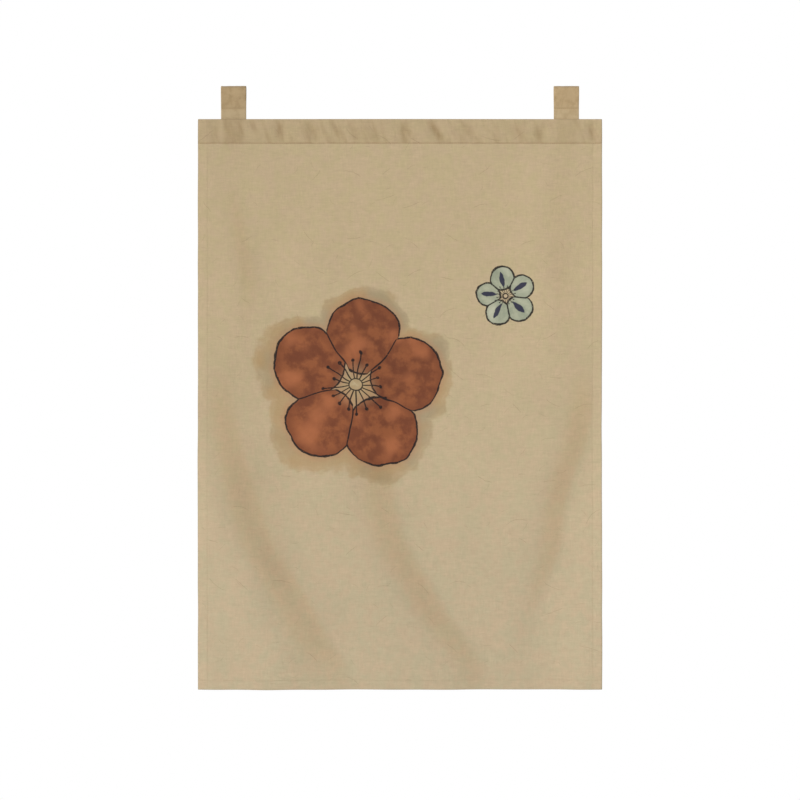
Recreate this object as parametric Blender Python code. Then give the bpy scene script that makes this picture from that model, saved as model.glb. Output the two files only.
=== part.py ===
"""Noren curtain: one cloth panel with turned hems, a stitched heading band and two tab loops.

Metres, +Z up. The front of the cloth faces -Y. The origin is the line on which a rod carries the
loops, at the middle of the curtain's width, so the whole curtain hangs below z = 0.
"""

from collections import namedtuple

import bmesh
import bpy
import numpy as np

# Cloth
WIDTH = 0.850
DROP = 1.200
CLOTH = 0.0012
HEM = 0.020
HEM_STEP = 0.0010
SEAM_GAP = 0.0003

# Heading: the top of the cloth turned to the back and sewn down along one line
BAND = 0.050
BAND_FOOT = 0.0012
BAND_HOLLOW = 0.0010
BAND_KNEE = 0.0060
PUFF = 0.0014
PUCKER_BITE = 1.45

# Tab loops: a strap doubled over the rod, its two tails sewn flat behind the heading
TAB_WIDTH = 0.053
TAB_SPACING = 0.700
TAB_RISE = 0.070
TAB_TAIL = 0.056
LOOP_HEIGHT = 0.046
LOOP_RADIUS = 0.008

# Where the cloth hangs: its top edge under the rod, its front face ahead of the tabs' tails
TOP_Z = CLOTH - TAB_RISE
BAND_BACK_Y = -CLOTH - SEAM_GAP
FRONT_Y = BAND_BACK_Y - 2 * CLOTH - BAND_HOLLOW

# The band between the tabs hangs a little forward, and the cloth below follows it
BOW = 0.0020
BOW_REACH = 0.300
BOW_FADE = (0.25, 0.70)

# Mesh steps
PANEL_COLUMNS = 44
PANEL_ROWS = 50
BAND_COLUMNS = 84
BAND_HEIGHTS = (0.12, 0.30, 0.50, 0.70, 0.88)
BAND_TURN_STEPS = 4
TAB_COLUMNS = 6
FLANK_STEPS = 7
LOOP_TURN_STEPS = 8
SHARP_ANGLE = 0.9

# A fold goes back by its depth, or comes forward where the depth is negative. Its profile falls off
# over one reach to the left and another to the right. It grows between the first two drops, fades
# between the last two, and runs through the (drop, across) points of its route.
Fold = namedtuple("Fold", "name depth left right grows full wanes gone route")
FOLDS = (
    Fold("upper left trough", 0.0022, 0.035, 0.050, 0.09, 0.20, 0.33, 0.50,
         ((0.17, -0.336), (0.25, -0.311), (0.34, -0.286), (0.42, -0.248))),
    Fold("upper left roll", -0.0030, 0.045, 0.030, 0.09, 0.22, 0.36, 0.60,
         ((0.17, -0.366), (0.34, -0.345))),
    Fold("upper right roll", -0.0038, 0.052, 0.042, 0.03, 0.14, 0.36, 0.62,
         ((0.10, 0.308), (0.25, 0.301), (0.42, 0.318))),
    Fold("left trough", 0.0118, 0.050, 0.150, 0.46, 0.66, 1.02, 1.32,
         ((0.60, -0.340), (0.68, -0.326), (0.76, -0.307), (0.84, -0.281), (0.91, -0.254),
          (0.97, -0.214), (1.03, -0.176), (1.10, -0.138), (1.15, -0.095))),
    Fold("left edge roll", -0.0110, 0.085, 0.085, 0.55, 0.80, 1.04, 1.36,
         ((0.70, -0.385), (0.84, -0.360), (0.97, -0.310), (1.10, -0.260))),
    Fold("centre trough", 0.0180, 0.062, 0.190, 0.22, 0.85, 1.02, 1.34,
         ((0.34, 0.010), (0.60, 0.002), (0.76, 0.000), (0.84, 0.010), (0.91, 0.037),
          (0.97, 0.073), (1.03, 0.106), (1.10, 0.158), (1.15, 0.192))),
    Fold("right trough", 0.0135, 0.043, 0.080, 0.46, 0.66, 0.84, 1.30,
         ((0.60, 0.415), (0.68, 0.402), (0.76, 0.374), (0.84, 0.358), (0.91, 0.349),
          (0.97, 0.326), (1.03, 0.305), (1.15, 0.276))),
    Fold("right edge roll", -0.0050, 0.070, 0.045, 0.62, 0.86, 1.04, 1.36,
         ((0.80, 0.430), (0.95, 0.430), (1.10, 0.420))),
)

# Puckers of the heading's front layer: where each crosses the band's middle, how far it slants
# across from its top to its foot, its half width, and how deep it bites into the puff, 0 to 1.
Pucker = namedtuple("Pucker", "across slant half_width bite")
PUCKERS = (
    Pucker(-0.386, 0.004, 0.012, 0.6),
    Pucker(-0.252, 0.002, 0.013, 1.0),
    Pucker(-0.184, 0.020, 0.012, 1.0),
    Pucker(-0.128, 0.000, 0.012, 0.5),
    Pucker(-0.096, 0.016, 0.013, 0.7),
    Pucker(-0.052, 0.018, 0.012, 0.6),
    Pucker(0.010, 0.002, 0.014, 0.9),
    Pucker(0.076, 0.030, 0.013, 1.0),
    Pucker(0.146, 0.026, 0.016, 0.8),
    Pucker(0.240, 0.020, 0.014, 0.6),
    Pucker(0.298, -0.010, 0.012, 0.7),
    Pucker(0.404, 0.004, 0.011, 0.9),
)

# The two loops differ a little: how much the loop's bulge swells and narrows across the strap.
Tab = namedtuple("Tab", "name across swell phase")
TABS = (
    Tab("tab_left", -TAB_SPACING / 2, 0.06, 0.4),
    Tab("tab_right", TAB_SPACING / 2, 0.05, 2.3),
)

# Finish of each piece: colour as seen on a screen, 0 to 255, and roughness
Finish = namedtuple("Finish", "colour roughness")
FINISHES = {
    "panel": Finish((190, 171, 139), 0.93),
    "heading": Finish((181, 163, 131), 0.93),
    "tab_left": Finish((169, 152, 121), 0.95),
    "tab_right": Finish((175, 158, 127), 0.95),
}


def clear_scene():
    for obj in list(bpy.data.objects):
        bpy.data.objects.remove(obj, do_unlink=True)


def linear(colour):
    """Screen colour, 0 to 255, as the linear values that a shader takes."""
    shade = np.array(colour) / 255
    low = shade / 12.92
    high = ((shade + 0.055) / 1.055) ** 2.4
    return np.where(shade <= 0.04045, low, high)


def cloth_material(name):
    finish = FINISHES[name]
    material = bpy.data.materials.new(name + "_cloth")
    material.use_nodes = True
    shader = material.node_tree.nodes["Principled BSDF"]
    shader.inputs["Base Color"].default_value = (*linear(finish.colour), 1.0)
    shader.inputs["Roughness"].default_value = finish.roughness
    shader.inputs["Metallic"].default_value = 0.0
    material.diffuse_color = (*linear(finish.colour), 1.0)
    return material


def smooth(value, start, end):
    """0 before start, 1 after end, and an even S-shaped rise between them."""
    t = np.clip((value - start) / (end - start), 0, 1)
    return t * t * (3 - 2 * t)


def route_across(route, drop):
    """Where a fold lies at each drop: a cubic between each two of its points, whose slope at a point
    comes from the points beside it. Past its ends it runs straight down."""
    drops, across = np.array(route).T
    slopes = np.gradient(across, drops)
    k = np.clip(np.searchsorted(drops, drop) - 1, 0, len(drops) - 2)
    step = drops[k + 1] - drops[k]
    t = np.clip((drop - drops[k]) / step, 0, 1)
    start = (1 + 2 * t) * (1 - t) ** 2 * across[k] + t * (1 - t) ** 2 * step * slopes[k]
    end = t * t * (3 - 2 * t) * across[k + 1] + t * t * (t - 1) * step * slopes[k + 1]
    return start + end


def fold_depth(x, drop):
    """How far back the hanging cloth lies at each point: the sum of its folds and of the bow
    between the tabs. A fold is its depth times exp(-u*u), with u the distance from its route over
    its reach on that side, times its growth and its fade down the cloth."""
    bow = np.cos(np.pi * np.clip(x / BOW_REACH, -1, 1) / 2) ** 2
    depth = -BOW * bow * (1 - smooth(drop, *BOW_FADE))
    for fold in FOLDS:
        offset = x - route_across(fold.route, drop)
        u = offset / np.where(offset < 0, fold.left, fold.right)
        strength = smooth(drop, fold.grows, fold.full) * (1 - smooth(drop, fold.wanes, fold.gone))
        depth = depth + fold.depth * np.exp(-u * u) * strength
    return depth


def front_puff(x, height):
    """How far the heading's front layer stands forward: an arch from the stitch line, height 0, to
    the fold, height 1, which each pucker bites into along its slanting line."""
    bite = np.zeros(np.broadcast(x, height).shape)
    for pucker in PUCKERS:
        line = pucker.across + pucker.slant * (0.5 - height)
        bite = np.maximum(bite, pucker.bite * np.exp(-(((x - line) / pucker.half_width) ** 2)))
    return PUFF * np.sin(np.pi * height) * (1 - PUCKER_BITE * bite)


def quads(index):
    """The four-sided faces of a grid of point numbers."""
    corners = (index[:-1, :-1], index[:-1, 1:], index[1:, 1:], index[1:, :-1])
    return np.stack(corners, axis=-1).reshape(-1, 4).tolist()


def ringed(index):
    """A grid of point numbers whose last column meets its first again."""
    return np.hstack([index, index[:, :1]])


def add_piece(name, points, faces, location):
    """A closed mesh with its faces turned outwards, as one named object with its own cloth."""
    mesh = bpy.data.meshes.new(name)
    mesh.from_pydata(points.reshape(-1, 3).tolist(), [], faces)
    shell = bmesh.new()
    shell.from_mesh(mesh)
    bmesh.ops.recalc_face_normals(shell, faces=shell.faces)
    shell.to_mesh(mesh)
    shell.free()
    mesh.shade_smooth()
    mesh.set_sharp_from_angle(angle=SHARP_ANGLE)
    mesh.materials.append(cloth_material(name))
    obj = bpy.data.objects.new(name, mesh)
    obj.location = location
    bpy.context.collection.objects.link(obj)
    return obj


def hem_lines(edge, steps, end):
    """Grid lines from edge to end, with two close lines where the hem's turned edge steps down."""
    inner = np.linspace(edge + HEM, end, steps)
    return np.concatenate([[edge, edge + HEM - HEM_STEP], inner])


def make_panel():
    """The cloth below the heading: a front face on the folds and a back face one cloth behind it,
    or two where the side hems and the bottom hem are turned over."""
    left_half = hem_lines(-WIDTH / 2, PANEL_COLUMNS // 2, 0.0)
    across = np.concatenate([left_half, -left_half[-2::-1]])
    top = BAND + BAND_FOOT + SEAM_GAP
    drops = DROP - hem_lines(0.0, PANEL_ROWS, DROP - top)[::-1]
    x, drop = np.meshgrid(across, drops)
    to_edge = np.minimum(WIDTH / 2 - abs(x), DROP - drop)
    turned = np.clip((HEM - to_edge) / HEM_STEP, 0, 1)
    front = fold_depth(x, drop)
    back = front + CLOTH * (1 + turned)
    points = np.stack([np.stack([x, y, -drop], axis=-1) for y in (front, back)])

    index = np.arange(x.size).reshape(x.shape)
    rim = np.concatenate([index[0, :-1], index[:-1, -1], index[-1, :0:-1], index[:0:-1, 0]])
    behind = rim + x.size
    edge_faces = np.stack([rim, np.roll(rim, -1), np.roll(behind, -1), behind], axis=-1).tolist()
    faces = quads(index) + quads(index[::-1] + x.size) + edge_faces
    return add_piece("panel", points, faces, (0, FRONT_Y, TOP_Z))


def looped_strip(name, inner, outer, location):
    """A strip doubled over into a loop and sewn together at its foot. inner holds the loop's inside
    from the foot up, over and back, one row for each step across. outer holds the outside, and ends
    with the two bottom corners of the sewn foot."""
    steps, inside, outside = inner.shape[0], inner.shape[1], outer.shape[1]
    inner_index = np.arange(steps * inside).reshape(steps, inside)
    outer_index = np.arange(steps * outside).reshape(steps, outside) + inner_index.size
    faces = quads(ringed(inner_index)[::-1]) + quads(ringed(outer_index))
    for hole, rim in ((inner_index[0], outer_index[0]), (inner_index[-1], outer_index[-1])):
        around = np.append(hole, hole[0])
        faces += quads(np.stack([around, rim[: inside + 1]]))
        faces.append([int(k) for k in (hole[0], rim[inside], *rim[inside + 1:], rim[0])])
    points = np.concatenate([inner.reshape(-1, 3), outer.reshape(-1, 3)])
    return add_piece(name, points, faces, location)


def make_heading():
    """The heading band: the front layer rises from the stitch line with its puckers, turns over in
    a half circle and comes down behind as a flat layer, sewn to the front one at the foot."""
    x = np.linspace(-WIDTH / 2, WIDTH / 2, BAND_COLUMNS + 1)[:, None]
    turn_radius = CLOTH + BAND_HOLLOW / 2
    rise = BAND - turn_radius

    heights = np.array((0, *BAND_HEIGHTS, 1))[None, :]
    puff = front_puff(x, heights)
    front_z = -BAND + rise * heights + 0 * x
    angles = (np.pi * np.arange(1, BAND_TURN_STEPS) / BAND_TURN_STEPS)[None, :]
    middle_y = CLOTH + BAND_HOLLOW / 2

    def turn(radius):
        return middle_y - radius * np.cos(angles) + 0 * x, -turn_radius + radius * np.sin(angles) + 0 * x

    turn_in, turn_out = turn(BAND_HOLLOW / 2), turn(turn_radius)
    back_y = CLOTH + BAND_HOLLOW + np.zeros((len(x), 2))
    back_z = np.array([[-turn_radius, -BAND + BAND_KNEE]]) + 0 * x
    foot_y = np.array([[2 * CLOTH, 2 * CLOTH, 0]]) + 0 * x
    foot_z = -BAND - np.array([[0, BAND_FOOT, BAND_FOOT]]) + 0 * x

    inner_y = np.hstack([CLOTH - puff, turn_in[0], back_y])
    inner_z = np.hstack([front_z, turn_in[1], back_z])
    outer_y = np.hstack([-puff, turn_out[0], back_y + CLOTH, foot_y])
    outer_z = np.hstack([front_z, turn_out[1], back_z, foot_z])
    sway = fold_depth(x, 0.0 * x)
    inner = np.stack([x + 0 * inner_y, sway + inner_y, inner_z], axis=-1)
    outer = np.stack([x + 0 * outer_y, sway + outer_y, outer_z], axis=-1)
    return looped_strip("heading", inner, outer, (0, FRONT_Y, TOP_Z))


def make_tab(tab):
    """One tab: the loop's inside opens from the sewn foot as a quarter sine wave up to the rod's
    height, where a half circle closes it. The outside is one cloth away along the normal."""
    x = np.linspace(-TAB_WIDTH / 2, TAB_WIDTH / 2, TAB_COLUMNS + 1)[:, None]
    radius = LOOP_RADIUS * (1 + tab.swell * np.sin(2 * np.pi * x / TAB_WIDTH + tab.phase))
    t = np.linspace(0, 1, FLANK_STEPS + 1)[None, :]
    flank_y = -radius * np.sin(np.pi * t / 2)
    flank_z = -LOOP_HEIGHT + (LOOP_HEIGHT - radius) * t
    angles = (np.pi * np.arange(1, LOOP_TURN_STEPS) / LOOP_TURN_STEPS)[None, :]
    inner_y = np.hstack([flank_y, -radius * np.cos(angles), -flank_y[:, ::-1]])
    inner_z = np.hstack([flank_z, radius * (np.sin(angles) - 1), flank_z[:, ::-1]])

    run_y, run_z = np.gradient(inner_y, axis=1), np.gradient(inner_z, axis=1)
    length = np.hypot(run_y, run_z)
    outer_y = inner_y - CLOTH * run_z / length
    outer_z = inner_z + CLOTH * run_y / length
    tail_y = np.array([[CLOTH, -CLOTH]]) + 0 * x
    tail_z = TOP_Z - TAB_TAIL + np.zeros((len(x), 2))
    outer_y, outer_z = np.hstack([outer_y, tail_y]), np.hstack([outer_z, tail_z])
    inner = np.stack([x + 0 * inner_y, inner_y, inner_z], axis=-1)[:, :-1]
    outer = np.stack([x + 0 * outer_y, outer_y, outer_z], axis=-1)
    return looped_strip(tab.name, inner, outer, (tab.across, 0, 0))


def main():
    clear_scene()
    make_panel()
    make_heading()
    for tab in TABS:
        make_tab(tab)


main()
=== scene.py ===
"""Looks of a noren curtain: printed oatmeal cloth with sewn hems, a heading band and two tab loops.

Metres, +Z up, the front of the cloth facing -Y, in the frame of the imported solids. Cloth is drawn on a
flat layout first: across from the middle, and drop down from the heading's top fold. The layout is then
turned over at its hems and hung on the folds. A material's noises are given by the lengths, in metres,
over which they change across and along the cloth.
"""

from collections import namedtuple

import bpy
import numpy as np
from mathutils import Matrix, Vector


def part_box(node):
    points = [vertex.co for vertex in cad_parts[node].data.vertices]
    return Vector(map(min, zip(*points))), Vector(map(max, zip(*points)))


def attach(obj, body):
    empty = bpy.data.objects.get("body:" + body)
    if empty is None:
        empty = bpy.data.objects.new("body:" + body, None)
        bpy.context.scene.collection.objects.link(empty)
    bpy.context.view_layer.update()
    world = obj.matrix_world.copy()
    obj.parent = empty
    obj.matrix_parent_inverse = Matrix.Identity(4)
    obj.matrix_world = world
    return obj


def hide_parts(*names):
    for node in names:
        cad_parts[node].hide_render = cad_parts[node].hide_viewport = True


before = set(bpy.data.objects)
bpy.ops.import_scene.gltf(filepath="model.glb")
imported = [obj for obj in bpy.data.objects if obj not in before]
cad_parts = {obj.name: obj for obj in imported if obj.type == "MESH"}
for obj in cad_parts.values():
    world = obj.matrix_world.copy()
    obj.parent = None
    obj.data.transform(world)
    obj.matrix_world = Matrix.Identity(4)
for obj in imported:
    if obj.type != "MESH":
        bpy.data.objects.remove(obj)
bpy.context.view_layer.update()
PANEL_LOW, PANEL_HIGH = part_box("panel")

# Sizes of the hung cloth, read from the solids, and its front face before any fold
WIDTH = PANEL_HIGH.x - PANEL_LOW.x
TOP_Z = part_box("heading")[1].z
DROP = TOP_Z - PANEL_LOW.z
FRONT_Y = -0.0049

# Cloth, hems and heading. A turn is the radius of the half circle in which a layer folds back, and
# it takes up TURN_EXTRA radii more cloth than the way straight out to the edge and back.
PLY = 0.0008
HEM_TURN = 0.00115
HEM = 0.0220
HEM_SEAM = 0.0200
BAND = 0.0508
BAND_TURN = 0.0017
BAND_END_TURN = 0.00235
CORNER_TURN = 0.0024
TURN_EXTRA = np.pi - 2
HEM_BLEND = 0.012
PRESSED = 0.0023
PRESSED_OVER = (0.010, 0.001)
SEAM_DIP = 0.00032
SEAM_DIP_REACH = 0.0018
SIDE_DIP_SHARE = 0.35
FOOT_DIP_SHARE = 0.55
PUFF = 0.0014
PUCKER_BITE = 1.45
SLACK_GROWS = 0.25
EDGE_WAVE_REACH = 0.06

# Grid lines of the cloth, as distances in from an edge, and the turns' own lines
HEM_BEHIND = (0.0220, 0.0210, 0.0200, 0.0190, 0.0170, 0.0120, 0.0060, 0.0025)
HEM_AHEAD = (0.0030, 0.0060, 0.0110, 0.0150, 0.0180, 0.0193, 0.0200, 0.0207, 0.0220, 0.0245)
BAND_BEHIND = (0.0576, 0.0548, 0.0523, 0.0508, 0.0493, 0.0466, 0.0424, 0.0360, 0.0280, 0.0200,
               0.0120, 0.0060, 0.0030)
BAND_AHEAD = (0.0030, 0.0060, 0.0100, 0.0150, 0.0200, 0.0250, 0.0300, 0.0350, 0.0400, 0.0444,
              0.0476, 0.0496, 0.0508, 0.0520, 0.0538)
TURN_LINES = 6
BODY_MARGIN = 0.0065
BODY_COLUMNS = 146
BODY_ROWS = 186

# Tabs
TAB_WIDTH = 0.053
TAB_ACROSS = 0.350
TAB_SEAM = 0.0462
TAB_TAIL = 0.056
LOOP_HEIGHT = 0.0455
LOOP_RADIUS = 0.0078
LOOP_EASE = 0.75
STRAP = 0.0011
STRAP_COLUMNS = 21
STEM_STEPS = 34
FLANK_STEPS = 14
LOOP_STEPS = 17
RIPPLE_FROM_EDGE = 0.004
RIPPLE_FROM_SEAM = (0.001, 0.006)

# The two loops differ a little: how much each one's bulge swells across the strap
Tab = namedtuple("Tab", "name across swell phase")
TABS = (
    Tab("strap_left", -TAB_ACROSS, 0.06, 0.4),
    Tab("strap_right", TAB_ACROSS, 0.05, 2.3),
)

# Thread
STITCH = 0.0034
STITCH_GAP = 0.0009
THREAD = 0.00026
THREAD_FLAT = 0.7
THREAD_ROUGHNESS = 0.75
THREAD_SHEEN = 0.1
TWIST = 0.0009
TWIST_RELIEF = 0.00004
STITCH_SIDES = 5
STITCH_PLACES = (0.0, 0.18, 0.82, 1.0)
STITCH_LIFT = (-0.00035, 0.00008, 0.00008, -0.00035)
SEAM_ENDS = 0.004
THREAD_ON_TAB = 0.0001

# Cloth colours as seen on a screen, its yarns and its finish
YARN = 0.00078
ROSY = (191, 169, 136)
GREENISH = (188, 170, 132)
PALE_ROSY = (189, 168, 138)
PALE_GREENISH = (183, 169, 138)
# Painted warm shade for the folds' flanks that face away from the key light
FOLD_SHADE_TINT = (1.040, 0.994, 0.945)
HEADING = (177, 153, 117)
TAB = (183, 158, 120)
TAB_FOOT = (187, 165, 129)
# Painted shade for the heading's puckers, folds and tab tails, and the tabs' darker patches
SHADE_AND_SMUDGE = (137, 110, 67)
HAIR = (104, 78, 50)
THREAD_DARK = ((142, 113, 80), (164, 138, 103))
# Painted shade of the heading's stitch groove
SEAM_SHADE = (139, 107, 70)
THREAD_PALE = ((172, 151, 118), (188, 168, 134))
CLOTH_ROUGHNESS = 0.92
CLOTH_SHEEN = 0.12
SHEEN_ROUGHNESS = 0.6
SPECULAR = 0.25
WEAVE_RELIEF = 0.00010
SLUB_RELIEF = 0.00020
RUMPLE_RELIEF = 0.00028
STRAP_SLUB_RELIEF = 0.00016

# Studio: a sun's size is its angle, an area light's is its side
PICTURE = 800
METRES_PER_PIXEL = 0.85 / 404.3
TOP_PIXEL = 119.0
CAMERA_AWAY = 6.0
FLOOR_BELOW = 0.55
FLOOR_ACROSS = (-3.5, 3.5)
FLOOR_DEEP = (-3.0, 1.2)
FLOOR_DARK = (236, 236, 234)
FLOOR_LIGHT = (242, 242, 240)
FLOOR_ROUGHNESS = 0.8
AMBIENT = 0.25
Light = namedtuple("Light", "name kind place size power")
LIGHTS = (
    Light("key", "SUN", (-5.0, -4.4, 1.35), 0.55, 2.72),
    Light("fill", "AREA", (3.0, -3.2, -0.4), 3.0, 42.0),
    Light("rear", "AREA", (-1.5, 3.2, 0.6), 3.0, 150.0),
)

# The band between the tabs hangs a little forward, and the cloth below follows it
BOW = 0.0020
BOW_REACH = 0.300
BOW_FADE = (0.25, 0.70)

# Slopes, across the cloth, between which a fold's flank, facing away from the key light, takes on painted
# warm shade
FLANK_SLOPES = (0.02, 0.24)
SLOPE_STEP = 0.004

# A fold goes back by its depth, or comes forward where the depth is negative. Its profile falls off
# over one reach to the left and another to the right. It grows between the first two drops, fades
# between the last two, and runs through the (drop, across) points of its route.
Fold = namedtuple("Fold", "name depth left right grows full wanes gone route")
FOLDS = (
    Fold("upper left trough", 0.0022, 0.035, 0.050, 0.09, 0.20, 0.33, 0.50,
         ((0.17, -0.336), (0.25, -0.311), (0.34, -0.286), (0.42, -0.248))),
    Fold("upper left roll", -0.0030, 0.045, 0.030, 0.09, 0.22, 0.36, 0.60,
         ((0.17, -0.366), (0.34, -0.345))),
    Fold("upper right roll", -0.0038, 0.052, 0.042, 0.03, 0.14, 0.36, 0.62,
         ((0.10, 0.308), (0.25, 0.301), (0.42, 0.318))),
    Fold("left trough", 0.0118, 0.050, 0.150, 0.46, 0.66, 1.02, 1.32,
         ((0.60, -0.340), (0.68, -0.326), (0.76, -0.307), (0.84, -0.281), (0.91, -0.254),
          (0.97, -0.214), (1.03, -0.176), (1.10, -0.138), (1.15, -0.095))),
    Fold("left edge roll", -0.0110, 0.085, 0.085, 0.55, 0.80, 1.04, 1.36,
         ((0.70, -0.385), (0.84, -0.360), (0.97, -0.310), (1.10, -0.260))),
    Fold("centre trough", 0.0180, 0.062, 0.190, 0.22, 0.85, 1.02, 1.34,
         ((0.34, 0.010), (0.60, 0.002), (0.76, 0.000), (0.84, 0.010), (0.91, 0.037),
          (0.97, 0.073), (1.03, 0.106), (1.10, 0.158), (1.15, 0.192))),
    Fold("right trough", 0.0135, 0.043, 0.080, 0.46, 0.66, 0.84, 1.30,
         ((0.60, 0.415), (0.68, 0.402), (0.76, 0.374), (0.84, 0.358), (0.91, 0.349),
          (0.97, 0.326), (1.03, 0.305), (1.15, 0.276))),
    Fold("right edge roll", -0.0050, 0.070, 0.045, 0.62, 0.86, 1.04, 1.36,
         ((0.80, 0.430), (0.95, 0.430), (1.10, 0.420))),
)

# Puckers of the heading's front layer: where each crosses the band's middle, how far it slants
# across from its top to its foot, its half width, and how deep it bites into the puff, 0 to 1.
Pucker = namedtuple("Pucker", "across slant half_width bite")
PUCKERS = (
    Pucker(-0.386, 0.004, 0.012, 0.6),
    Pucker(-0.252, 0.002, 0.013, 1.0),
    Pucker(-0.184, 0.020, 0.012, 1.0),
    Pucker(-0.128, 0.000, 0.012, 0.5),
    Pucker(-0.096, 0.016, 0.013, 0.7),
    Pucker(-0.052, 0.018, 0.012, 0.6),
    Pucker(0.010, 0.002, 0.014, 0.9),
    Pucker(0.076, 0.030, 0.013, 1.0),
    Pucker(0.146, 0.026, 0.016, 0.8),
    Pucker(0.240, 0.020, 0.014, 0.6),
    Pucker(0.298, -0.010, 0.012, 0.7),
    Pucker(0.404, 0.004, 0.011, 0.9),
)

# Small waves of the hanging cloth: height, shortest and longest wavelength, how many, and the seed
Waves = namedtuple("Waves", "height shortest longest count seed")
SLACK = Waves(0.0009, 0.110, 0.260, 14, 3)
CRUMPLE = Waves(0.00010, 0.022, 0.060, 26, 8)
EDGE_WAVE = Waves(0.0002, 0.050, 0.170, 9, 21)
STRAP_WAVE = Waves(0.00020, 0.012, 0.045, 14, 5)
SEAM_STRAY = Waves(0.0005, 0.040, 0.150, 7, 2)


def smooth(value, start, end):
    """0 before start, 1 after end, and an even S-shaped rise between them."""
    t = np.clip((value - start) / (end - start), 0, 1)
    return t * t * (3 - 2 * t)


def route_across(route, drop):
    """Where a fold lies at each drop: a cubic between each two of its points, whose slope at a point
    comes from the points beside it. Past its ends it runs straight down."""
    drops, across = np.array(route).T
    slopes = np.gradient(across, drops)
    k = np.clip(np.searchsorted(drops, drop) - 1, 0, len(drops) - 2)
    step = drops[k + 1] - drops[k]
    t = np.clip((drop - drops[k]) / step, 0, 1)
    start = (1 + 2 * t) * (1 - t) ** 2 * across[k] + t * (1 - t) ** 2 * step * slopes[k]
    end = t * t * (3 - 2 * t) * across[k + 1] + t * t * (t - 1) * step * slopes[k + 1]
    return start + end


def waves(kind, x, z):
    """A sum of sine waves of one height in even directions, with seeded lengths and phases, scaled
    so that the whole stays near that height."""
    draw = np.random.default_rng(kind.seed)
    total = 0 * x
    for k in range(kind.count):
        angle = np.pi * (k + draw.random()) / kind.count
        turns = 2 * np.pi / draw.uniform(kind.shortest, kind.longest)
        phase = draw.uniform(0, 2 * np.pi)
        total = total + np.sin(turns * (x * np.cos(angle) + z * np.sin(angle)) + phase)
    return kind.height * total / np.sqrt(kind.count)


def main_folds(x, drop):
    """How far back the cloth lies on its main folds: each is its depth times exp(-u*u), with u the
    distance from its route over its reach on that side, times its growth and its fade."""
    bow = np.cos(np.pi * np.clip(x / BOW_REACH, -1, 1) / 2) ** 2
    depth = -BOW * bow * (1 - smooth(drop, *BOW_FADE))
    for fold in FOLDS:
        offset = x - route_across(fold.route, drop)
        u = offset / np.where(offset < 0, fold.left, fold.right)
        strength = smooth(drop, fold.grows, fold.full) * (1 - smooth(drop, fold.wanes, fold.gone))
        depth = depth + fold.depth * np.exp(-u * u) * strength
    return depth


def hang(x, drop):
    """The whole depth of the hanging cloth: main folds, slack waves that start below the heading, and
    fine crumple."""
    below = smooth(drop, BAND, BAND + SLACK_GROWS)
    return main_folds(x, drop) + waves(SLACK, x, drop) * below + waves(CRUMPLE, x, drop)


def pucker_bite(x, height):
    """How deep the puckers bite, 0 to 1, at a height in the heading: each along its slanting line."""
    bite = np.zeros(np.broadcast(x, height).shape)
    for pucker in PUCKERS:
        line = pucker.across + pucker.slant * (0.5 - height)
        bite = np.maximum(bite, pucker.bite * np.exp(-(((x - line) / pucker.half_width) ** 2)))
    return bite


def front_puff(x, height):
    """How far the heading's front layer stands forward: an arch from the stitch line, height 0, to
    the fold, height 1, less what the puckers bite off."""
    return PUFF * np.sin(np.pi * np.clip(height, 0, 1)) * (1 - PUCKER_BITE * pucker_bite(x, height))


def turn_over(flat, edge, radius):
    """A layer that runs out to an edge and turns back under itself: how far out each point lies, and
    how far round the half circle of the turn it is, 0 to pi."""
    past = flat - (edge - radius)
    angle = np.clip(past / radius, 0, np.pi)
    beyond = np.maximum(past - np.pi * radius, 0)
    return np.where(past < 0, flat, edge - radius + radius * np.sin(angle) - beyond), angle


def back_layout(distance, edge, radius):
    """The flat layout's place of a point on the turned layer that lies this far in from the edge."""
    return edge + TURN_EXTRA * radius + distance


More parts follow.
